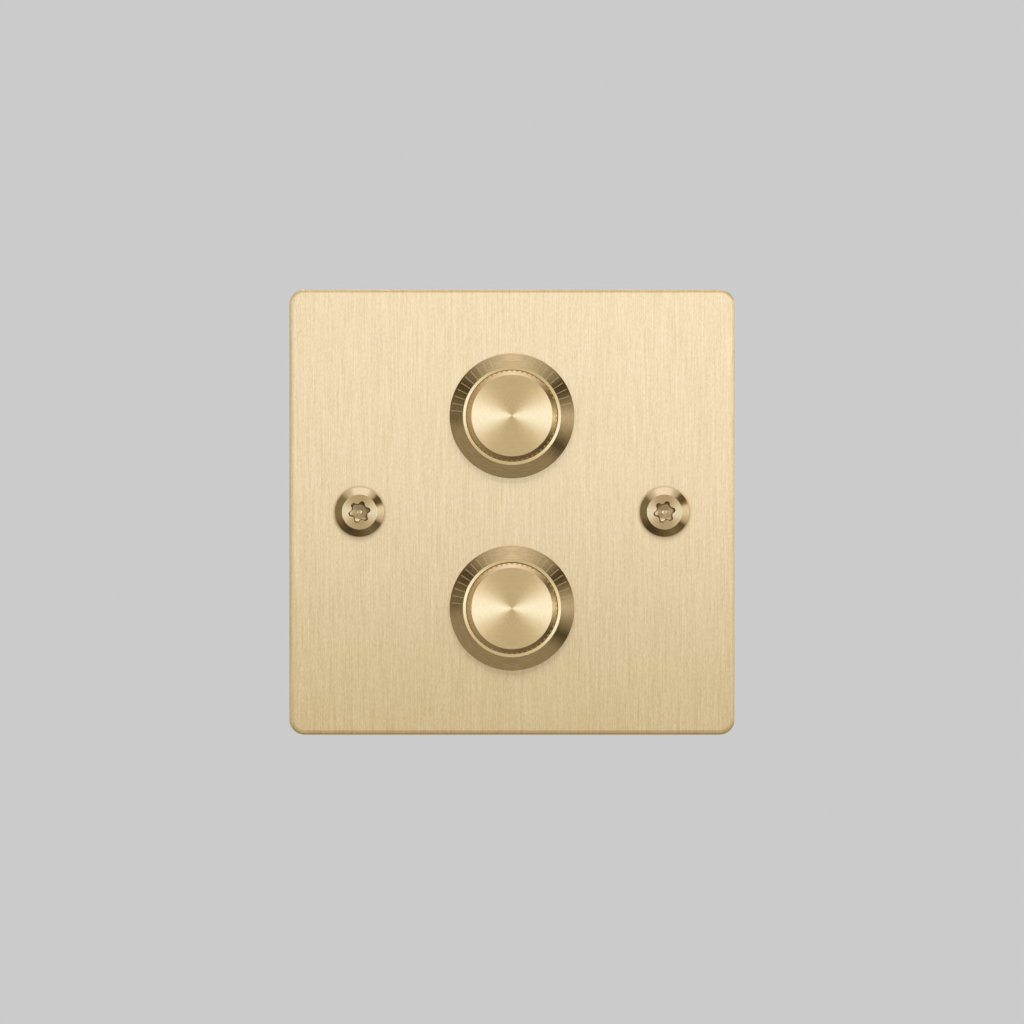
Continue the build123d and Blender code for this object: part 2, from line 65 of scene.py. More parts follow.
# Sizes and finishes of the dial rings
CUP_RADIUS = 9.92
CUP_HOLE = 4.1
CUP_BACK = 0.6
CUP_FLOOR = 1.6
PLATE_FRONT = 3.0
RIM_RADIUS = 12.35
RIM_TOP = 3.9
LAND_RADIUS = 9.7
LAND_TOP = 6.2
DIAL_BORE = 9.07
DIAL_STEPS = 720
KEY_HALF = 1.0
KEY_DEPTH = 0.8
DIAL_BRASS = ["turned_brass", "faced_brass", "engraved_brass", "tarnished_shaded_brass"]

# Engraved lines in degrees either side of the top, and their sizes
TOP_ANGLE = 90
LINE_ANGLES = range(15, 92, 7)
LINE_HALF_ANGLE = 0.5
LINE_INNER = 9.78
LINE_OUTER = 12.03
LINE_DEPTH = 0.06

# Sizes and finishes of the knobs
KNOB_TOP = 23.0
KNOB_RADIUS = 8.95
FACE_RADIUS = 8.0
CHAMFER_DEPTH = 0.72
KNURL_COLUMNS = 216
KNURL_ROWS = 30
KNURL_DEPTH = 0.33
KNURL_FLAT = 1.6
KNURL_LOW = 8.5
GRIP_END = 8.2
NECK_RADIUS = 8.5
SKIRT_END = 4.6
SKIRT_EDGE = 0.1
NUT_ROOM = 6.47
NUT_ROOM_TOP = 7.2
SPINDLE_BORE = 3.05
BORE_END = 18.0
GRUB_LEVEL = 11.2
GRUB_RADIUS = 1.5
GRUB_DRILL = 8
GRUB_DRILL_MIDDLE = -6.2
GRUB_STEPS = 48
KNOB_BRASS = ["spun_brass", "polished_brass", "turned_brass", "knurled_brass"]

# Sizes and finishes of the fixing screws
HEAD_RADIUS = 4.9
HEAD_FLAT = 3.45
HEAD_RIM = 3.8
HEAD_TOP = 4.67
NECK = 1.5
NECK_END = 0.3
NECK_STEP = 0.1
SCREW_TIP = -37.0
TIP_RADIUS = 0.95
TIP_CHAMFER = 0.4
SCREW_STEPS = 288
SCREW_BRASS = ["screw_brass", "satin_brass", "tarnished_shaded_brass", "drilled_brass"]

# Thread of the fixing screws, rooted in the shank and run out at both ends
THREAD_CREST = 1.75
THREAD_ROOT = 1.38
THREAD_ROOTED = 0.04
THREAD_FLANK = 0.23
THREAD_FLAT = 0.08
THREAD_PITCH = 0.6
THREAD_TURNS = 60
THREAD_TOP = -0.1
THREAD_END = -36.0
THREAD_LEAST = 0.05
THREAD_STEPS = 40

# Six-lobe recess: rounded lip, tapered walls, sloping floor of the lobes and dished middle
LOBE_TIP = 2.16
LOBE_ROOT = 1.58
LOBE_ROUND = 0.5
LOBE_HOLLOW = 0.6
LOBE_TURN = 12.5
LOBE_LIP = 0.05
LOBE_TAPER = 0.9
LOBE_FLOOR = 3.55
LOBE_FLOOR_SLOPE = 0.5
DISH_RADIUS = 1.38
DISH = [(DISH_RADIUS, 3.53), (1.0, 3.39), (0.45, 3.15), (POLE, 3.07)]

# Moulded border and stiffening ribs on the module cases
BORDER_MARGIN = 3.5
BORDER_CORNER = 2.0
BORDER_CORNER_STEPS = 8
BORDER_WIDTH = 0.9
BORDER_HEIGHT = 0.4
TRIM_ROUND = 0.15
TRIM_STEPS = 3
RIB_WIDTH = 1.0
RIB_HEIGHT = 0.5
RIB_SHORTER = 4
RIB_SPACING = 5.5
RIBS = 4
ROOTED = 0.2

# Sizes of the return springs
SPRING_WIRE = 0.6
SPRING_COILS = 5
SPRING_STEPS = 40

# Axes of the gangs and of the fixing screws for the materials, off the middle of the plate in metres
GANG_AXIS = (0, 0.019)
SCREW_AXIS = (0.03015, 0)

# Brushing hairs in metres. Real ones are finer: these are as coarse as they need to be to show.
HAIR_WIDTH = 0.00013
HAIR_DEPTH = 0.005
LONG_HAIR = 0.008
SHORT_HAIR = 0.0006
SHORT_HAIR_SHIFT = (3.7, 0, 1.9)

# A face whose normal has less than this towards the front or the back is an edge of the plate
EDGE_FACING = 0.3

# Painted shade against the screw heads, standing in for their contact shadow: where it starts and ends, and
# how fast it fades behind the front
SCREW_SHADE_FROM = 0.0046
SCREW_SHADE_TO = 0.0055
SCREW_SHADE_LEVEL = 0.003
SCREW_SHADE_STEEPNESS = 3

# Turning marks in metres, broken into arcs, and drawn as coarse as they need to be to show
SPUN_MARKS = 0.0002
TURNED_MARKS = 0.0003
ARCS_PER_RADIAN = 5

# Levels of a noise pattern, and of the turning marks, between which a finish changes
NOISE_LOW = 0.3
NOISE_HIGH = 0.7
MARKS_LOW = 0.25
MARKS_HIGH = 0.75

# Wide mottling of plain surfaces
CLOUD_MM = 9.0

# Paints of the panels that the bright metal mirrors
PANELS = {"black": "484032", "umber": "60503C", "dim": "7C7060", "half": "A09484", "tan": "C0AC94",
          "soft": "C0B4A8", "pale": "DCD0C6", "bright": "F2E8E2", "cream": "F4E2C4", "white": "FFF8FC"}
TENT_RADIUS = 0.5
TENT_STEPS = 72

# Floor, in metres
FLOOR_LEVEL = -0.55
FLOOR_HALF = 2.0

# Long lens straight in front, 1024 pixels across 202.4 mm at the plate's face
FRAME_WIDTH = 0.2024
LENS = 1200
SENSOR = 36
SIGHT_END = 50


def shade(hexes):
    """Linear colour of an sRGB hex value."""
    colour = []
    for place in (0, 2, 4):
        level = int(hexes[place:place + 2], 16) / 255
        colour.append(level / 12.92 if level <= 0.04045 else ((level + 0.055) / 1.055) ** 2.4)
    return (*colour, 1.0)


def node(tree, kind, sockets=None, **settings):
    """Add one node with its settings, and set or link its sockets."""
    made = tree.nodes.new(kind)
    for name, value in settings.items():
        setattr(made, name, value)
    for name, value in (sockets or {}).items():
        if isinstance(value, bpy.types.NodeSocket):
            tree.links.new(value, made.inputs[name])
        else:
            made.inputs[name].default_value = value
    return made


def blank(name):
    """Empty material, its node tree and the piece's own coordinates."""
    material = bpy.data.materials.new(name)
    material.use_nodes = True
    tree = material.node_tree
    tree.nodes.clear()
    return material, tree, node(tree, "ShaderNodeTexCoord").outputs["Object"]


def surface(tree, sockets):
    """Surface shader of a material, with its sockets set or linked."""
    shader = node(tree, "ShaderNodeBsdfPrincipled", sockets)
    node(tree, "ShaderNodeOutputMaterial", {"Surface": shader.outputs["BSDF"]})


def off_axis(tree, place, axis, level=0.0, steepness=0.0):
    """Way from the nearest axis, which lies the same way off the middle in each quarter, and its length.

    With a steepness, the length also grows away from that level of the piece."""
    folded = node(tree, "ShaderNodeVectorMath", {0: place}, operation="ABSOLUTE")
    centred = node(tree, "ShaderNodeMapping", {"Vector": folded.outputs["Vector"], "Scale": (1, steepness, 1),
                                               "Location": (-axis[0], -level * steepness, -axis[1])})
    way = centred.outputs["Vector"]
    return way, node(tree, "ShaderNodeVectorMath", {0: way}, operation="LENGTH").outputs["Value"]


def turning_marks(tree, place, axis, spacing):
    """Uneven rings round the nearest axis, broken into arcs."""
    way, reach = off_axis(tree, place, axis)
    parts = node(tree, "ShaderNodeSeparateXYZ", {"Vector": way})
    angle = node(tree, "ShaderNodeMath", {0: parts.outputs["Z"], 1: parts.outputs["X"]}, operation="ARCTAN2")
    unrolled = node(tree, "ShaderNodeCombineXYZ", {"X": reach, "Y": angle.outputs["Value"]})
    scaled = node(tree, "ShaderNodeMapping", {"Vector": unrolled.outputs["Vector"],
                                              "Scale": (1 / spacing, ARCS_PER_RADIAN, 1)})
    rings = node(tree, "ShaderNodeTexNoise", {"Vector": scaled.outputs["Vector"], "Scale": 1.0,
                                              "Detail": 2.0})
    return rings.outputs["Fac"]


def brushed_brass():
    # Solid brass plate, brushed upright and lacquered: pale gold with fine upright hairs, so that
    # lights spread sideways. The edges of the plate are brushed along their length instead.
    material, tree, front = blank("brushed_brass")
    normal = node(tree, "ShaderNodeNewGeometry").outputs["Normal"]
    facing = node(tree, "ShaderNodeSeparateXYZ", {"Vector": normal})
    frontal = node(tree, "ShaderNodeMath", {0: facing.outputs["Y"]}, operation="ABSOLUTE")
    on_edge = node(tree, "ShaderNodeMath", {0: frontal.outputs["Value"], 1: EDGE_FACING},
                   operation="LESS_THAN").outputs["Value"]
    axes = node(tree, "ShaderNodeSeparateXYZ", {"Vector": front})
    along = node(tree, "ShaderNodeCombineXYZ", {"X": axes.outputs["Y"], "Y": axes.outputs["X"],
                                                "Z": axes.outputs["Z"]})
    place = node(tree, "ShaderNodeMix", {"Factor": on_edge, "A": front, "B": along.outputs["Vector"]},
                 data_type="VECTOR").outputs["Result"]
    hairs = []
    for length, shift in ((LONG_HAIR, (0, 0, 0)), (SHORT_HAIR, SHORT_HAIR_SHIFT)):
        drawn = node(tree, "ShaderNodeMapping", {"Vector": place, "Location": shift,
                                                 "Scale": (1 / HAIR_WIDTH, 1 / HAIR_DEPTH, 1 / length)})
        hairs.append(node(tree, "ShaderNodeTexNoise", {"Vector": drawn.outputs["Vector"], "Scale": 1.0,
                                                       "Detail": 1.0}).outputs["Fac"])
    hair = node(tree, "ShaderNodeMix", {"Factor": 0.5, "A": hairs[0], "B": hairs[1]}).outputs["Result"]
    tone = node(tree, "ShaderNodeMapRange", {"Value": hair, "From Min": NOISE_LOW, "From Max": NOISE_HIGH})
    colour = node(tree, "ShaderNodeMix", {"Factor": tone.outputs["Result"], "A": shade("C5A86C"),
                                          "B": shade("E2C58A")}, data_type="RGBA")
    rough = node(tree, "ShaderNodeMapRange", {"Value": hair, "From Min": NOISE_LOW, "From Max": NOISE_HIGH,
                                              "To Min": 0.34, "To Max": 0.38})
    # Painted shade: the front darkens in a ring against the screw heads, standing in for their contact shadow
    reach = off_axis(tree, front, SCREW_AXIS, SCREW_SHADE_LEVEL, SCREW_SHADE_STEEPNESS)[1]
    unshaded = node(tree, "ShaderNodeMapRange", {"Value": reach, "From Min": SCREW_SHADE_FROM, "From Max": SCREW_SHADE_TO},
                 interpolation_type="SMOOTHSTEP")
    wear_and_shade = node(tree, "ShaderNodeMix", {"Factor": unshaded.outputs["Result"], "A": shade("AE9158"),
                                        "B": colour.outputs["Result"]}, data_type="RGBA")
    across = node(tree, "ShaderNodeMix", {"Factor": on_edge, "A": (1.0, 0.03, 0.0), "B": (0.0, 1.0, 0.0)},
                  data_type="VECTOR")
    surface(tree, {"Metallic": 0.8, "Anisotropic": 0.8, "Base Color": wear_and_shade.outputs["Result"],
                   "Roughness": rough.outputs["Result"], "Tangent": across.outputs["Result"]})
    return material


def spun_brass(name, axis, dark, light, rough_low, rough_high, spread, twist=0.0):
    # Faced on a lathe: rings too fine to see singly, so that lights spread from the middle into two fans.
    material, tree, place = blank(name)
    rings = turning_marks(tree, place, axis, SPUN_MARKS)
    colour = node(tree, "ShaderNodeMix", {"Factor": rings, "A": shade(dark), "B": shade(light)},
                  data_type="RGBA")
    rough = node(tree, "ShaderNodeMapRange", {"Value": rings, "From Min": MARKS_LOW, "From Max": MARKS_HIGH,
                                              "To Min": rough_low, "To Max": rough_high})
    round_axis = node(tree, "ShaderNodeTangent", direction_type="RADIAL", axis="Y")
    surface(tree, {"Metallic": 1.0, "Anisotropic": spread, "Anisotropic Rotation": 0.25 + twist,
                   "Base Color": colour.outputs["Result"], "Roughness": rough.outputs["Result"],
                   "Tangent": round_axis.outputs["Tangent"]})
    return material


def turned_brass():
    # Turned and polished cones: a soft mirror with faint turning marks.
    material, tree, place = blank("turned_brass")
    rings = turning_marks(tree, place, GANG_AXIS, TURNED_MARKS)
    colour = node(tree, "ShaderNodeMix", {"Factor": rings, "A": shade("C4AF82"), "B": shade("F6E4B9")},
                  data_type="RGBA")
    rough = node(tree, "ShaderNodeMapRange", {"Value": rings, "From Min": MARKS_LOW, "From Max": MARKS_HIGH,
                                              "To Min": 0.13, "To Max": 0.18})
    surface(tree, {"Metallic": 1.0, "Base Color": colour.outputs["Result"],
                   "Roughness": rough.outputs["Result"]})
    return material


def mirror_brass(name, dark, light, grain_mm, detail, rough_low, rough_high):
    # Polished with a mop: close to a mirror, with a faint cloudy unevenness.
    material, tree, place = blank(name)
    cloud = node(tree, "ShaderNodeTexNoise", {"Vector": place, "Scale": 1 / (grain_mm * MM),
                                              "Detail": detail}).outputs["Fac"]
    colour = node(tree, "ShaderNodeMix", {"Factor": cloud, "A": shade(dark), "B": shade(light)},
                  data_type="RGBA")
    rough = node(tree, "ShaderNodeMapRange", {"Value": cloud, "From Min": NOISE_LOW, "From Max": NOISE_HIGH,
                                              "To Min": rough_low, "To Max": rough_high})
    surface(tree, {"Metallic": 1.0, "Base Color": colour.outputs["Result"],
                   "Roughness": rough.outputs["Result"]})
    return material


def knurled_brass():
    # Rolled grip: bright worn tips, and the cuts between them painted dark, as painted shade with lacquer and
    # tarnish.
    material, tree, place = blank("knurled_brass")
    crest = node(tree, "ShaderNodeAttribute", attribute_name="crest")
    grain = node(tree, "ShaderNodeTexNoise", {"Vector": place, "Scale": 1 / (0.3 * MM), "Detail": 2.0})
    wear_and_shade = node(tree, "ShaderNodeMapRange", {"Value": grain.outputs["Fac"], "From Min": NOISE_LOW,
                                             "From Max": NOISE_HIGH, "To Min": 0.9, "To Max": 1.1})
    height = node(tree, "ShaderNodeMath", {0: crest.outputs["Fac"], 1: wear_and_shade.outputs["Result"]},
                  operation="MULTIPLY")
    bright = node(tree, "ShaderNodeMapRange", {"Value": height.outputs["Value"], "From Min": 0.2,
                                               "From Max": 0.9})
    # Dark in the cuts is painted shade, with tarnish; the tips stay bright
    colour = node(tree, "ShaderNodeMix", {"Factor": bright.outputs["Result"], "A": shade("8A6A2E"),
                                          "B": shade("E3CB98")}, data_type="RGBA")
    rough = node(tree, "ShaderNodeMapRange", {"Value": bright.outputs["Result"], "To Min": 0.5,
                                              "To Max": 0.2})
    surface(tree, {"Metallic": 1.0, "Base Color": colour.outputs["Result"],
                   "Roughness": rough.outputs["Result"]})
    return material


def engraved_brass():
    # Floor of the engraved lines: bare matt brass, which stays pale where the cone mirrors dark.
    material, tree, place = blank("engraved_brass")
    grain = node(tree, "ShaderNodeTexNoise", {"Vector": place, "Scale": 1 / (0.1 * MM), "Detail": 2.0})
    colour = node(tree, "ShaderNodeMix", {"Factor": grain.outputs["Fac"], "A": shade("E0D5B0"),
                                          "B": shade("ECE2C1")}, data_type="RGBA")
    surface(tree, {"Metallic": 1.0, "Roughness": 0.46, "Base Color": colour.outputs["Result"]})
    return material


def plain(name, dark, light, grain_mm, metallic, rough_low, rough_high, dent_mm):
    # Cast, moulded, drawn or stamped: a mottled colour, uneven gloss and a fine dented skin.
    material, tree, place = blank(name)
    grain = node(tree, "ShaderNodeTexNoise", {"Vector": place, "Scale": 1 / (grain_mm * MM), "Detail": 4.0,
                                              "Roughness": 0.6}).outputs["Fac"]
    cloud = node(tree, "ShaderNodeTexNoise", {"Vector": place, "Scale": 1 / (CLOUD_MM * MM), "Detail": 2.0})
    mixed = node(tree, "ShaderNodeMath", {0: grain, 1: cloud.outputs["Fac"]}, operation="MULTIPLY")
    tone = node(tree, "ShaderNodeMapRange", {"Value": mixed.outputs["Value"], "From Min": 0.12,
                                             "From Max": 0.4})
    colour = node(tree, "ShaderNodeMix", {"Factor": tone.outputs["Result"], "A": shade(dark),
                                          "B": shade(light)}, data_type="RGBA")
    rough = node(tree, "ShaderNodeMapRange", {"Value": grain, "From Min": NOISE_LOW, "From Max": NOISE_HIGH,
                                              "To Min": rough_low, "To Max": rough_high})
    dent = node(tree, "ShaderNodeBump", {"Height": grain, "Strength": 0.5, "Distance": dent_mm * MM})
    surface(tree, {"Metallic": metallic, "Base Color": colour.outputs["Result"],
                   "Roughness": rough.outputs["Result"], "Normal": dent.outputs["Normal"]})
    return material


finishes = {
    "brushed_brass": brushed_brass(),
    "turned_brass": turned_brass(),
    "knurled_brass": knurled_brass(),
    "engraved_brass": engraved_brass(),
    # Knob faces, the ring's narrow land and the screws' flats: from wide fans to a flatter, browner sheen
    "spun_brass": spun_brass("spun_brass", GANG_AXIS, "E4C48A", "FFE2A6", 0.30, 0.36, 0.85),
    "faced_brass": spun_brass("faced_brass", GANG_AXIS, "FCDFA0", "FFE4A6", 0.30, 0.34, 0.83, 0.04),
    "satin_brass": spun_brass("satin_brass", SCREW_AXIS, "D3B47E", "E2C58F", 0.28, 0.36, 0.8),
    # Knob chamfers, polished before the face was spun, and the screws' heads and rolled threads
    "polished_brass": mirror_brass("polished_brass", "F2DBA9", "F8E4B8", 2.0, 2.0, 0.14, 0.18),
    "screw_brass": mirror_brass("rolled_brass", "EAD7AA", "F4E3BA", 1.2, 3.0, 0.09, 0.14),
}

# Plain finishes: name of the material, dark and light colour, grain in mm, metallic, lowest and highest
# roughness, and depth of dents in mm. All but the first two are slots of the record.
PLAIN_FINISHES = {
    # Brass in the hollows painted brown, as painted shade with tarnish; paler where a drill turned, yet
    # darker than the head's flat, as painted shade; dull gold on clamps
    "tarnished_shaded_brass": ("tarnished_shaded_brass", "7E6030", "9A7840", 0.3, 1.0, 0.4, 0.55, 0.01),
    "drilled_brass": ("drilled_brass", "BFA372", "D8BD8A", 0.4, 1.0, 0.18, 0.28, 0.01),
    "plain_brass": ("extruded_brass", "B99B5C", "D2B777", 0.8, 1.0, 0.28, 0.4, 0.01),
    # Zinc-plated and drawn steel: cool grey with an even shine
    "bright_steel": ("zinc_plated_steel", "A9ABAC", "C4C6C8", 0.6, 1.0, 0.22, 0.34, 0.008),
    "spring_steel": ("drawn_spring_steel", "8E9194", "B4B6B8", 0.4, 1.0, 0.22, 0.32, 0.006),
    # Die-cast aluminium: pale grey, dull and a little pitted
    "cast_aluminium": ("die_cast_aluminium", "9A9C9E", "B9BBBC", 0.5, 1.0, 0.42, 0.58, 0.03),
    # Moulded plastics: textured black for the cases, smooth grey and ivory for terminals and inner parts
    "case_plastic": ("moulded_polycarbonate", "1A1B1D", "2E2F31", 0.7, 0.0, 0.4, 0.58, 0.25),
    "terminal_plastic": ("moulded_polyamide", "B9B7AE", "CBC9C0", 0.25, 0.0, 0.4, 0.52, 0.015),
    "inner_plastic": ("moulded_acetal", "D8D4C8", "E6E3DA", 0.3, 0.0, 0.4, 0.5, 0.015),
    # Glass laminate under green lacquer, and the resin of the components: deep colour, satin to matt
    "board_laminate": ("lacquered_glass_laminate", "2E5A39", "3A6B45", 0.3, 0.0, 0.32, 0.45, 0.01),
    "component_black": ("moulded_epoxy", "18191A", "242526", 0.2, 0.0, 0.5, 0.62, 0.02),
    # Enamelled copper wire: warm red metal under a glossy coat
    "choke_winding": ("enamelled_copper", "8A4A22", "B4683A", 0.4, 1.0, 0.25, 0.4, 0.05),
    # Shrunk sleeve, moulded film case and pressed paper wafer: glossy, satin and matt
    "capacitor_sleeve": ("shrunk_pvc", "1B2430", "27364A", 0.8, 0.0, 0.25, 0.35, 0.01),
    "film_box": ("moulded_polyester", "B9962F", "C9A53B", 0.3, 0.0, 0.4, 0.5, 0.01),
    "track_wafer": ("pressed_phenolic_paper", "5B4630", "6E553A", 0.3, 0.0, 0.5, 0.6, 0.01),
}
for slot, values in PLAIN_FINISHES.items():
    finishes[slot] = plain(*values)


def turn(bm, outline, steps):
    """Spin an outline of (radius, level) points about the piece's own axis."""
    points = [bm.verts.new((radius, 0, level)) for radius, level in outline]
    lines = [bm.edges.new(pair) for pair in zip(points, points[1:])]
    bmesh.ops.spin(bm, geom=points + lines, cent=(0, 0, 0), axis=(0, 0, 1), angle=2 * math.pi, steps=steps,
                   use_merge=True, use_duplicate=False)
    bmesh.ops.remove_doubles(bm, verts=bm.verts, dist=MERGE)


def solid(bm, name, centre):
    """Object from a face-on mesh, with its seams closed and its place in the mesh."""
    bmesh.ops.remove_doubles(bm, verts=bm.verts, dist=MERGE)
    bmesh.ops.recalc_face_normals(bm, faces=bm.faces)
    bm.transform(Matrix.Translation(centre) @ FACE_ON)
    mesh = bpy.data.meshes.new(name)
    bm.to_mesh(mesh)
    bm.free()
    piece = bpy.data.objects.new(name, mesh)
    bpy.context.collection.objects.link(piece)
    return piece


def finish_piece(bm, name, body, materials, nodes, centre, drill=None):
    """Close the mesh, put it in its place, drill it and let it stand for its CAD nodes."""
    piece = solid(bm, name, centre)
    for material in materials:
        piece.data.materials.append(finishes[material])
    if drill:
        cut = piece.modifiers.new("drilled", "BOOLEAN")
        cut.object = drill
        bpy.context.view_layer.update()
        drilled = piece.evaluated_get(bpy.context.evaluated_depsgraph_get())
        piece.data = bpy.data.meshes.new_from_object(drilled)
        piece.modifiers.clear()
        bpy.data.objects.remove(drill)
    piece.data.shade_smooth()
    piece.data.set_sharp_from_angle(angle=math.radians(SMOOTH_ANGLE))
    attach(piece, body)
    if nodes:
        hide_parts(*nodes)
    return piece


def polar(point):
    """Radius and angle in degrees of a point round the piece's axis."""
    return math.hypot(point.x, point.y), math.degrees(math.atan2(point.y, point.x)) % 360


def sunk(bm, faces, move):
    """Extrude faces, move the new ones and leave no face behind; returns the new faces."""
    made = bmesh.ops.extrude_face_region(bm, geom=faces)["geom"]
    for item in made:
        if isinstance(item, bmesh.types.BMVert):
            item.co += move(item.co)
    bmesh.ops.delete(bm, geom=faces, context="FACES")
    return [item for item in made if isinstance(item, bmesh.types.BMFace)]


def dial_ring(gang, centre):
    """Conical ring with engraved lines, in one with the cup that holds it in the plate."""
    bm = bmesh.new()
    slope = (LAND_TOP - RIM_TOP) / (RIM_RADIUS - LAND_RADIUS)
    outline = [(CUP_HOLE, CUP_BACK), (CUP_RADIUS, CUP_BACK), (CUP_RADIUS, PLATE_FRONT),
               (RIM_RADIUS, PLATE_FRONT), (RIM_RADIUS, RIM_TOP - EDGE)]
    for radius in (RIM_RADIUS - EDGE, LINE_OUTER, LINE_INNER, LAND_RADIUS + EDGE):
        outline.append((radius, LAND_TOP - (radius - LAND_RADIUS) * slope))
    outline += [(LAND_RADIUS - EDGE, LAND_TOP), (DIAL_BORE + 2 * EDGE, LAND_TOP),
                (DIAL_BORE, LAND_TOP - 2 * EDGE), (DIAL_BORE, CUP_FLOOR), (CUP_HOLE, CUP_FLOOR),
                (CUP_HOLE, CUP_BACK)]
    turn(bm, outline, DIAL_STEPS)
    # Engraved lines either side of the top, and the key that stops the ring from turning
    marks = [TOP_ANGLE + side * angle for angle in LINE_ANGLES for side in (-1, 1)]
    lines = []
    key = []
    for face in bm.faces:
        middle = face.calc_center_median()
        radius, angle = polar(middle)
        if middle.z > RIM_TOP and LINE_INNER < radius < LINE_OUTER:
            if any(abs((angle - mark + 180) % 360 - 180) < LINE_HALF_ANGLE for mark in marks):
                lines.append(face)
        elif middle.z > LAND_TOP - NEAR:
            face.material_index = DIAL_BRASS.index("faced_brass")
        elif abs(radius - CUP_RADIUS) < NEAR and abs(middle.x) < KEY_HALF and middle.y < 0:
            key.append(face)
        # The well inside the bore, floor and wall, is painted brown: painted shade, with tarnish
        elif radius < DIAL_BORE + EDGE / 2 and middle.z > CUP_FLOOR - NEAR:
            face.material_index = DIAL_BRASS.index("tarnished_shaded_brass")

    def below_cone(point):
        radius = math.hypot(point.x, point.y)
        return Vector((point.x * slope / radius, point.y * slope / radius, 1)).normalized() * -LINE_DEPTH

    for face in sunk(bm, lines, below_cone):
        face.material_index = DIAL_BRASS.index("engraved_brass")
    sunk(bm, key, lambda point: Vector((0, -KEY_DEPTH, 0)))
    piece = finish_piece(bm, "dial_" + gang, "wall_unit", DIAL_BRASS, ["dial_ring_" + gang],
                         centre)
    piece.visible_glossy = False


def knob(gang, centre):
    """Knob with a spun face, a polished chamfer and a diamond knurl, hollow for nut and spindle."""
    bm = bmesh.new()
    slope = CHAMFER_DEPTH / (KNOB_RADIUS - FACE_RADIUS)
    grip_top = KNOB_TOP - CHAMFER_DEPTH
    step = (grip_top - KNURL_LOW) / KNURL_ROWS
    outline = [(0, KNOB_TOP), (FACE_RADIUS - EDGE, KNOB_TOP), (FACE_RADIUS + EDGE, KNOB_TOP - EDGE * slope)]
    outline += [(KNOB_RADIUS, grip_top - row * step) for row in range(KNURL_ROWS + 1)]
    outline += [(NECK_RADIUS, GRIP_END), (NECK_RADIUS, SKIRT_END + SKIRT_EDGE),
                (NECK_RADIUS - SKIRT_EDGE, SKIRT_END), (NUT_ROOM, SKIRT_END), (NUT_ROOM, NUT_ROOM_TOP),
                (SPINDLE_BORE, NUT_ROOM_TOP), (SPINDLE_BORE, BORE_END), (0, BORE_END)]
    turn(bm, outline, KNURL_COLUMNS)
    # Diamond knurl: two families of slanting grooves leave pyramids with small flats
    # The crest level also drives the knurled finish's painted shade, which darkens the cuts between the tips
    crest = bm.verts.layers.float.new("crest")
    for vert in bm.verts:
        radius, angle = polar(vert.co)
        if abs(radius - KNOB_RADIUS) > NEAR:
            continue
        row = round((grip_top - vert.co.z) / step)
        column = round((angle - TOP_ANGLE) * KNURL_COLUMNS / 360)
        off_grooves = [abs((slant / 2 + 1) % 2 - 1) for slant in (column + row, column - row)]
        vert[crest] = min(1, KNURL_FLAT * min(off_grooves))
        depth = KNURL_DEPTH * (1 - vert[crest])
        inward = (KNOB_RADIUS - depth) / KNOB_RADIUS
        lift = depth * slope if row == 0 else 0
        vert.co = (vert.co.x * inward, vert.co.y * inward, vert.co.z + lift)
    grip = []
    for face in bm.faces:
        middle = face.calc_center_median()
        if middle.z > KNOB_TOP - NEAR:
            finish = "spun_brass"
        elif middle.z > grip_top + CHAMFER_DEPTH / 4:
            finish = "polished_brass"
        elif middle.z > GRIP_END and polar(middle)[0] > NECK_RADIUS:
            finish = "knurled_brass"
            grip.append(face)
        else:
            finish = "turned_brass"
        face.material_index = KNOB_BRASS.index(finish)
    bmesh.ops.triangulate(bm, faces=grip, quad_method="SHORT_EDGE")
    # Hole for the grub screw, drilled from below, without a thread
    drill = bmesh.new()
    from_below = Matrix.Translation((0, GRUB_DRILL_MIDDLE, GRUB_LEVEL)) @ Matrix.Rotation(math.pi / 2, 4, "X")
    bmesh.ops.create_cone(drill, cap_ends=True, segments=GRUB_STEPS, radius1=GRUB_RADIUS, radius2=GRUB_RADIUS,
                          depth=GRUB_DRILL, matrix=from_below)
    for face in drill.faces:
        face.material_index = KNOB_BRASS.index("turned_brass")
    piece = finish_piece(bm, "knob_" + gang + "_dressed", "knob_" + gang, KNOB_BRASS,
                         ["knob_" + gang], centre, solid(drill, "drill", centre))
    piece.visible_glossy = False


def ring(bm, edges, shape):
    """Extrude a loop of edges on to the ring of points that shape gives for each angle."""
    made = bmesh.ops.extrude_edge_only(bm, edges=edges)["geom"]
    points = [item for item in made if isinstance(item, bmesh.types.BMVert)]
    for point in points:
        angle = math.atan2(point.co.y, point.co.x)
        radius, level = shape(angle)
        point.co = (radius * math.cos(angle), radius * math.sin(angle), level)
    fresh = set(points)
    return [item for item in made if isinstance(item, bmesh.types.BMEdge) and fresh.issuperset(item.verts)]


def lobe(angle):
    """Radius of the six-lobe recess at an angle: round tips, hollow flanks and a circle between."""
    radius = (LOBE_TIP + LOBE_ROOT) / 2
    off_tip = (angle - math.radians(LOBE_TURN) + math.pi / 6) % (math.pi / 3) - math.pi / 6
    off_hollow = math.pi / 6 - abs(off_tip)
    tip = LOBE_TIP - LOBE_ROUND
    hollow = LOBE_ROOT + LOBE_HOLLOW
    if hollow * math.sin(off_hollow) < LOBE_HOLLOW:
        chord = math.sqrt(LOBE_HOLLOW ** 2 - (hollow * math.sin(off_hollow)) ** 2)
        radius = min(radius, hollow * math.cos(off_hollow) - chord)
    if tip * abs(math.sin(off_tip)) < LOBE_ROUND:
        chord = math.sqrt(LOBE_ROUND ** 2 - (tip * math.sin(off_tip)) ** 2)
        radius = max(radius, tip * math.cos(off_tip) + chord)
    return radius


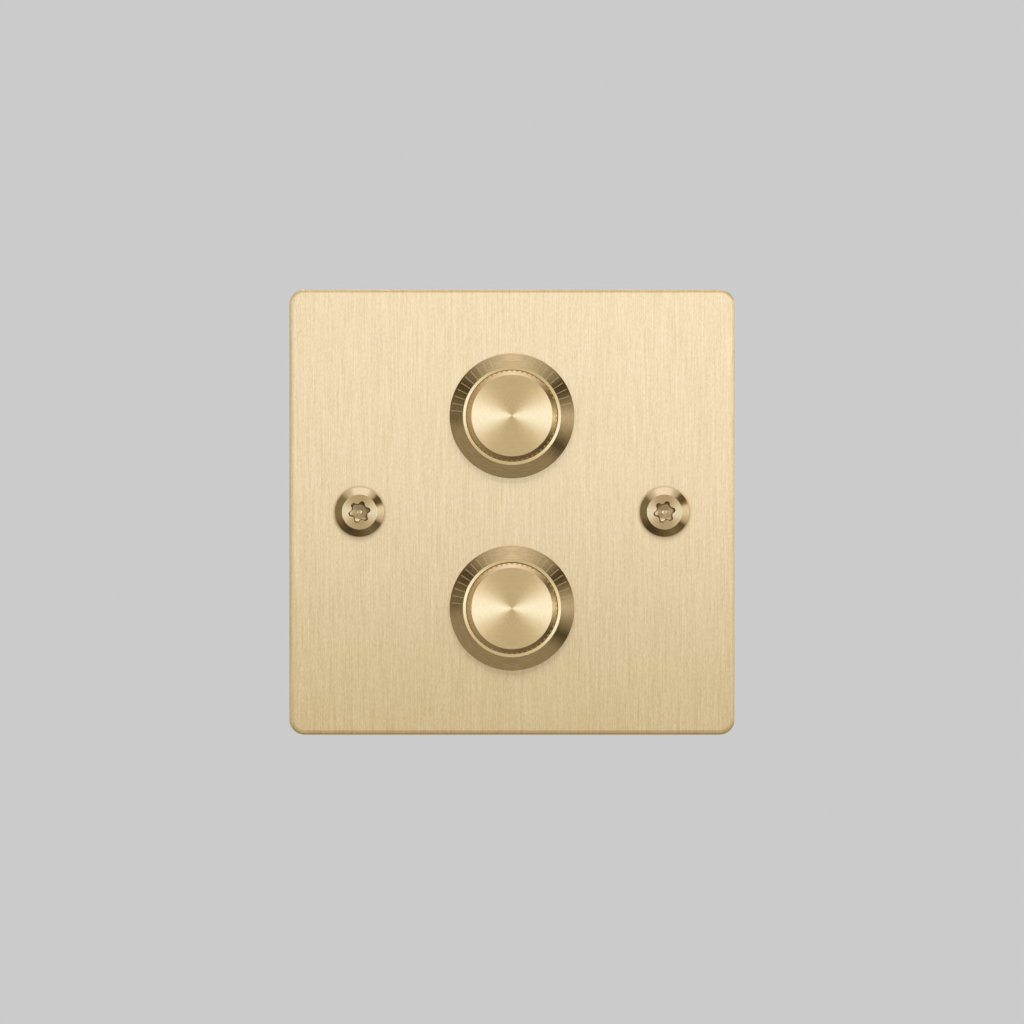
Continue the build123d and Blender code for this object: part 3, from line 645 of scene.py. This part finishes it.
def thread(bm):
    """One turn of a ridge wound round the shank, repeated, run out at both ends and closed there."""
    root = THREAD_ROOT - THREAD_ROOTED
    ridge = [(root, THREAD_TOP), (THREAD_CREST, THREAD_TOP - THREAD_FLANK),
             (THREAD_CREST, THREAD_TOP - THREAD_FLANK - THREAD_FLAT),
             (root, THREAD_TOP - 2 * THREAD_FLANK - THREAD_FLAT)]
    points = [bm.verts.new((radius, 0, level)) for radius, level in ridge]
    lines = [bm.edges.new(pair) for pair in zip(points, points[1:] + points[:1])]
    bmesh.ops.spin(bm, geom=points + lines, cent=(0, 0, 0), axis=(0, 0, 1), angle=2 * math.pi,
                   steps=THREAD_STEPS, dvec=(0, 0, -THREAD_PITCH / THREAD_STEPS), use_merge=False,
                   use_duplicate=False)
    first = bm.verts[:] + bm.edges[:] + bm.faces[:]
    for count in range(1, THREAD_TURNS):
        copied = bmesh.ops.duplicate(bm, geom=first)["geom"]
        moved = [item for item in copied if isinstance(item, bmesh.types.BMVert)]
        bmesh.ops.translate(bm, verts=moved, vec=(0, 0, -THREAD_PITCH * count))
    for vert in bm.verts:
        radius = math.hypot(vert.co.x, vert.co.y)
        room = min(THREAD_TOP - vert.co.z, vert.co.z - THREAD_END) / THREAD_PITCH
        if radius > THREAD_CREST - NEAR and room < 1:
            inward = (root + (THREAD_CREST - THREAD_ROOT) * max(room, THREAD_LEAST)) / radius
            vert.co = (vert.co.x * inward, vert.co.y * inward, vert.co.z)
    bmesh.ops.remove_doubles(bm, verts=bm.verts, dist=MERGE)
    bmesh.ops.holes_fill(bm, edges=[edge for edge in bm.edges if edge.is_boundary], sides=4)


def fixing_screw(side, centre):
    """Screw with a chamfered head, a six-lobe recess and a full thread."""
    bm = bmesh.new()
    thread(bm)
    # Mouth of the recess
    circle = bmesh.ops.create_circle(bm, segments=SCREW_STEPS, radius=LOBE_ROOT)["verts"]
    mouth = list({edge for vert in circle for edge in vert.link_edges})
    for vert in circle:
        angle = math.atan2(vert.co.y, vert.co.x)
        radius = lobe(angle)
        vert.co = (radius * math.cos(angle), radius * math.sin(angle), HEAD_TOP - LOBE_LIP)
    # Outwards over the head and down to the neck, the shank and the tip
    edges = ring(bm, mouth, lambda angle: (lobe(angle) + LOBE_LIP, HEAD_TOP))
    slope = (HEAD_TOP - HEAD_RIM) / (HEAD_RADIUS - HEAD_FLAT)
    for radius, level in ((HEAD_FLAT - HEAD_EDGE, HEAD_TOP),
                          (HEAD_FLAT + HEAD_EDGE, HEAD_TOP - HEAD_EDGE * slope),
                          (HEAD_RADIUS - EDGE, HEAD_RIM + EDGE * slope), (HEAD_RADIUS, HEAD_RIM - EDGE),
                          (HEAD_RADIUS, PLATE_FRONT), (NECK, PLATE_FRONT), (NECK, NECK_END),
                          (THREAD_ROOT, NECK_END - NECK_STEP), (THREAD_ROOT, SCREW_TIP + TIP_CHAMFER),
                          (TIP_RADIUS, SCREW_TIP), (POLE, SCREW_TIP)):
        edges = ring(bm, edges, lambda angle: (radius, level))

    # Down the walls of the recess, over the sloping floor of the lobes and into the dished middle
    def lobe_floor(angle):
        return LOBE_TAPER * lobe(angle), LOBE_FLOOR + LOBE_FLOOR_SLOPE * (lobe(angle) - LOBE_ROOT)

    edges = ring(bm, mouth, lobe_floor)
    beside = {face for edge in mouth for face in edge.link_faces}
    walls = {face for face in beside if face.calc_center_median().z < HEAD_TOP - LOBE_LIP}
    for radius, level in DISH:
        edges = ring(bm, edges, lambda angle: (radius, level))
    for face in bm.faces:
        middle = face.calc_center_median()
        # Walls of the recess painted brown: painted shade, with tarnish
        if face in walls:
            face.material_index = SCREW_BRASS.index("tarnished_shaded_brass")
        elif middle.z > HEAD_TOP - NEAR:
            face.material_index = SCREW_BRASS.index("satin_brass")
        # The dished middle of the recess is painted a little darker than the head's flat: painted shade
        elif middle.z > 0 and polar(middle)[0] < DISH_RADIUS:
            face.material_index = SCREW_BRASS.index("drilled_brass")
    finish_piece(bm, "fixing_screw_" + side, "wall_unit", SCREW_BRASS, ["fixing_screws"],
                 centre)


def rounded(bm, edges):
    """Round the edges of moulded trim."""
    bmesh.ops.bevel(bm, geom=edges, offset=TRIM_ROUND, offset_type="OFFSET", affect="EDGES",
                    segments=TRIM_STEPS, profile=0.5, material=-1)


def case_trim(gang):
    """Border on the back of a module case, round a bare panel, and ribs that stiffen its two end walls."""
    low, high = [Vector(corner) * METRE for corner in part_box("module_case_" + gang)]
    strip_low, strip_high = [Vector(corner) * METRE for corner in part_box("terminal_strip_" + gang)]
    bottom, top = (low.z, strip_low.z) if gang == "upper" else (strip_high.z, high.z)
    bm = bmesh.new()
    bmesh.ops.create_grid(bm, x_segments=1, y_segments=1, size=0.5)
    bmesh.ops.scale(bm, verts=bm.verts, vec=(high.x - low.x - 2 * BORDER_MARGIN,
                                             top - bottom - 2 * BORDER_MARGIN, 1))
    bmesh.ops.bevel(bm, geom=bm.verts[:], offset=BORDER_CORNER, offset_type="OFFSET", affect="VERTICES",
                    segments=BORDER_CORNER_STEPS, profile=0.5, material=-1)
    border = bmesh.ops.inset_region(bm, faces=bm.faces[:], thickness=BORDER_WIDTH, use_boundary=True,
                                    use_even_offset=True)["faces"]
    bmesh.ops.delete(bm, geom=[face for face in bm.faces if face not in border], context="FACES")
    raised = bmesh.ops.extrude_face_region(bm, geom=bm.faces[:])["geom"]
    tops = {item for item in raised if isinstance(item, bmesh.types.BMFace)}
    bmesh.ops.translate(bm, verts=[item for item in raised if isinstance(item, bmesh.types.BMVert)],
                        vec=(0, 0, -BORDER_HEIGHT - ROOTED))
    rounded(bm, [edge for edge in bm.edges if len(tops.intersection(edge.link_faces)) == 1])
    bmesh.ops.translate(bm, verts=bm.verts, vec=(0, (bottom + top) / 2, ROOTED - high.y))
    rib_size = Matrix.Diagonal((2 * RIB_HEIGHT, RIB_WIDTH, high.y - low.y - RIB_SHORTER, 1))
    for wall in (low.x, high.x):
        for count in range(RIBS):
            level = (low.z + high.z) / 2 + (count - (RIBS - 1) / 2) * RIB_SPACING
            place = Matrix.Translation((wall, level, -(low.y + high.y) / 2))
            made = bmesh.ops.create_cube(bm, size=1, matrix=place @ rib_size)["verts"]
            rounded(bm, list({edge for vert in made for edge in vert.link_edges}))
    finish_piece(bm, "case_trim_" + gang, "wall_unit", ["case_plastic"], [],
                 Vector((0, 0, 0)))


def return_spring(gang):
    """Coil spring on the floor of its housing, wound evenly at rest; it isn't closed up as the plunger comes
    in.
    """
    low, high = [Vector(corner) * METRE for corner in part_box("return_spring_" + gang)]
    middle = (low + high) / 2
    coil = (high.x - low.x - SPRING_WIRE) / 2
    rise = (high.y - low.y - SPRING_WIRE) / SPRING_COILS
    bm = bmesh.new()
    place = Matrix.Translation((coil, 0, SPRING_WIRE / 2 - high.y))
    bmesh.ops.create_circle(bm, cap_ends=True, segments=SPRING_STEPS, radius=SPRING_WIRE / 2,
                            matrix=place @ Matrix.Rotation(math.pi / 2, 4, "X"))
    bmesh.ops.spin(bm, geom=bm.verts[:] + bm.edges[:] + bm.faces[:], cent=(0, 0, 0), axis=(0, 0, 1),
                   angle=2 * math.pi * SPRING_COILS, steps=SPRING_STEPS * SPRING_COILS,
                   dvec=(0, 0, rise / SPRING_STEPS), use_merge=False, use_duplicate=False)
    piece = finish_piece(bm, "return_spring_" + gang + "_coiled", "wall_unit",
                         ["spring_steel"], ["return_spring_" + gang],
                         Vector((middle.x, 0, middle.z)) / METRE)
    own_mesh(piece)


for gang in ("upper", "lower"):
    low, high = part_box("dial_ring_" + gang)
    middle = Vector((0, 0, (low[2] + high[2]) / 2))
    dial_ring(gang, middle)
    knob(gang, middle)
    case_trim(gang)
    return_spring(gang)

low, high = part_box("fixing_screws")
for side, place in (("left", low[0] + HEAD_RADIUS * MM), ("right", high[0] - HEAD_RADIUS * MM)):
    fixing_screw(side, Vector((place, 0, 0)))

# The remaining CAD nodes keep their shape and get their finish.
# What stands on a gang's axis isn't mirrored by other pieces, so that plate and cones show even panels.
for name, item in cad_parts.items():
    for part in item.material_slots:
        part.material = finishes[part.material.name.split(".")[0]]
    item.visible_glossy = not name.startswith(("spindle", "threaded_bush", "bush_", "knob_grub"))

# Pale grey surroundings, which light the object evenly
world = bpy.data.worlds.new("pale_grey")
bpy.context.scene.world = world
world.use_nodes = True
world.node_tree.nodes.clear()
sky = node(world.node_tree, "ShaderNodeBackground", {"Color": shade("CBCBCB"), "Strength": 1.0})
node(world.node_tree, "ShaderNodeOutputWorld", {"Surface": sky.outputs["Background"]})


def softbox(name, place, target, size, colour, level, lit=None):
    """Rectangular light of one brightness, for a few pieces or all, which the camera doesn't see."""
    width, height = size
    lamp = bpy.data.lights.new(name, "AREA")
    lamp.shape = "RECTANGLE"
    lamp.size = width
    lamp.size_y = height
    lamp.color = shade(colour)[:3]
    lamp.energy = level * math.pi * width * height
    light = bpy.data.objects.new(name, lamp)
    aim = (Vector(target) - Vector(place)).to_track_quat("-Z", "Y")
    light.matrix_world = Matrix.Translation(place) @ aim.to_matrix().to_4x4()
    light.visible_camera = False
    if lit:
        light.light_linking.receiver_collection = lit
    bpy.context.collection.objects.link(light)
    return light


def tent(name, back, front, panels):
    """Ring of graded panels round the plate, seen only in reflections."""
    bm = bmesh.new()
    ends = [bm.verts.new((TENT_RADIUS, level, 0)) for level in (back, front)]
    line = bm.edges.new(ends)
    bmesh.ops.spin(bm, geom=ends + [line], cent=(0, 0, 0), axis=(0, 1, 0), angle=2 * math.pi,
                   steps=TENT_STEPS, use_merge=True, use_duplicate=False)
    mesh = bpy.data.meshes.new(name)
    bm.to_mesh(mesh)
    bm.free()
    material, tree, place = blank(name)
    axes = node(tree, "ShaderNodeSeparateXYZ", {"Vector": place})
    angle = node(tree, "ShaderNodeMath", {0: axes.outputs["Z"], 1: axes.outputs["X"]}, operation="ARCTAN2")
    share = node(tree, "ShaderNodeMapRange", {"Value": angle.outputs["Value"], "From Min": -math.pi,
                                              "From Max": math.pi})
    ramp = node(tree, "ShaderNodeValToRGB", {"Fac": share.outputs["Result"]})
    stops = ramp.color_ramp.elements
    stops[0].position = 0
    stops[0].color = shade(PANELS[panels[180]])
    stops[1].position = 1
    stops[1].color = shade(PANELS[panels[180]])
    for degrees, paint in panels.items():
        if degrees < 180:
            stops.new((degrees + 180) / 360).color = shade(PANELS[paint])
    surface(tree, {"Base Color": (0, 0, 0, 1), "Specular IOR Level": 0, "Emission Strength": 1.0,
                   "Emission Color": ramp.outputs["Color"]})
    mesh.materials.append(material)
    item = bpy.data.objects.new(name, mesh)
    item.visible_camera = False
    item.visible_diffuse = False
    item.visible_shadow = False
    item.visible_transmission = False
    bpy.context.collection.objects.link(item)


def group(name, names):
    """Pieces that a light is meant for."""
    made = bpy.data.collections.new(name)
    for item in names:
        made.objects.link(bpy.data.objects[item])
    return made


# Soft boxes in front for the plate and for the turned faces, one above that casts the soft shadows, one
# beside for the plate's edge, and two behind for the back. Places and sizes are in metres, and a box of
# level 1 is as bright as white paper.
MIDDLE = (0, 0, 0)
BACK_MIDDLE = (0, 0.02, 0)
plate_only = group("plate_only", [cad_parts["front_plate"].name])
casters = ["dial_upper", "dial_lower", "fixing_screw_left", "fixing_screw_right"]
faces_only = group("faces_only", ["knob_upper_dressed", "knob_lower_dressed"] + casters)
softbox("plate_box", (0.1, -0.38, 0.0775), (0.1, 0, 0.0775), (0.5, 0.195), "A8BCFF", 2.38, plate_only)
for side, name in ((-1, "left"), (1, "right")):
    softbox(name + "_box", (0.25 * side, -0.56, 0), MIDDLE, (0.25, 0.22), "8FB8FF", 3.6, faces_only)
    softbox(name + "_glow", (0.26 * side, -0.58, 0), MIDDLE, (0.25, 0.46), "FFDA7C", 0.6, faces_only)
sky_box = softbox("sky_box", (0, -0.58, 0.69), MIDDLE, (0.8, 0.25), "D2DBFF", 43, plate_only)
sky_box.visible_glossy = False
sky_box.light_linking.blocker_collection = group("casters", casters)
softbox("edge_box", (-0.6, -0.35, 0), MIDDLE, (0.3, 0.6), "FFF4E4", 0.3, plate_only)
softbox("rear_box", (-0.4, 0.55, 0.4), BACK_MIDDLE, (0.45, 0.45), "FFFFFF", 1.6)
softbox("rear_fill", (0.5, 0.4, 0.1), BACK_MIDDLE, (0.4, 0.4), "FFFFFF", 0.8)

# Panels for the cones, the knobs' chamfers and the screws, by degrees round the plate from the right
tent("dial_tent", 0.025, -0.135, {
    -168: "half", -48: "half", -30: "black", -16: "half", 0: "pale", 15: "half", 26: "umber", 36: "black",
    46: "half", 58: "soft", 72: "pale", 90: "bright", 105: "pale", 119: "soft", 135: "dim", 145: "black",
    154: "umber", 167: "dim", 180: "dim"})
tent("knob_tent", -0.135, -0.235, {
    -125: "dim", -90: "umber", -60: "umber", -46: "black", -28: "umber", -16: "half", 0: "cream", 15: "half",
    30: "umber", 59: "pale", 90: "white", 122: "pale", 150: "tan", 180: "tan"})
tent("screw_tent", -0.235, -0.42, {
    -165: "dim", -152: "umber", -135: "black", -120: "black", -95: "umber", -60: "dim", -32: "umber",
    -24: "soft", -13: "pale", 0: "bright", 14: "bright", 21: "half", 28: "umber", 44: "umber", 51: "soft",
    62: "pale", 70: "white", 108: "white", 116: "pale", 130: "soft", 141: "dim", 155: "dim", 180: "dim"})

# Matt painted floor, well below the object
floor_mesh = bmesh.new()
bmesh.ops.create_grid(floor_mesh, x_segments=1, y_segments=1, size=FLOOR_HALF,
                      matrix=Matrix.Translation((0, 0, FLOOR_LEVEL)))
floor_data = bpy.data.meshes.new("floor")
floor_mesh.to_mesh(floor_data)
floor_mesh.free()
floor_paint, floor_tree = blank("pale_floor")[:2]
surface(floor_tree, {"Base Color": shade("EBEBE9"), "Roughness": 0.8})
floor_data.materials.append(floor_paint)
floor = bpy.data.objects.new("floor", floor_data)
bpy.context.collection.objects.link(floor)

# Camera at the photograph's viewing angle
lens = bpy.data.cameras.new("camera")
lens.lens = LENS
lens.sensor_width = SENSOR
lens.clip_end = SIGHT_END
camera = bpy.data.objects.new("camera", lens)
far = FRAME_WIDTH * LENS / SENSOR
camera.matrix_world = (Matrix.Translation((0, -PLATE_FRONT * MM - far, 0))
                       @ Matrix.Rotation(math.pi / 2, 4, "X"))
bpy.context.collection.objects.link(camera)
bpy.context.scene.camera = camera

bpy.context.scene.view_settings.view_transform = "Standard"
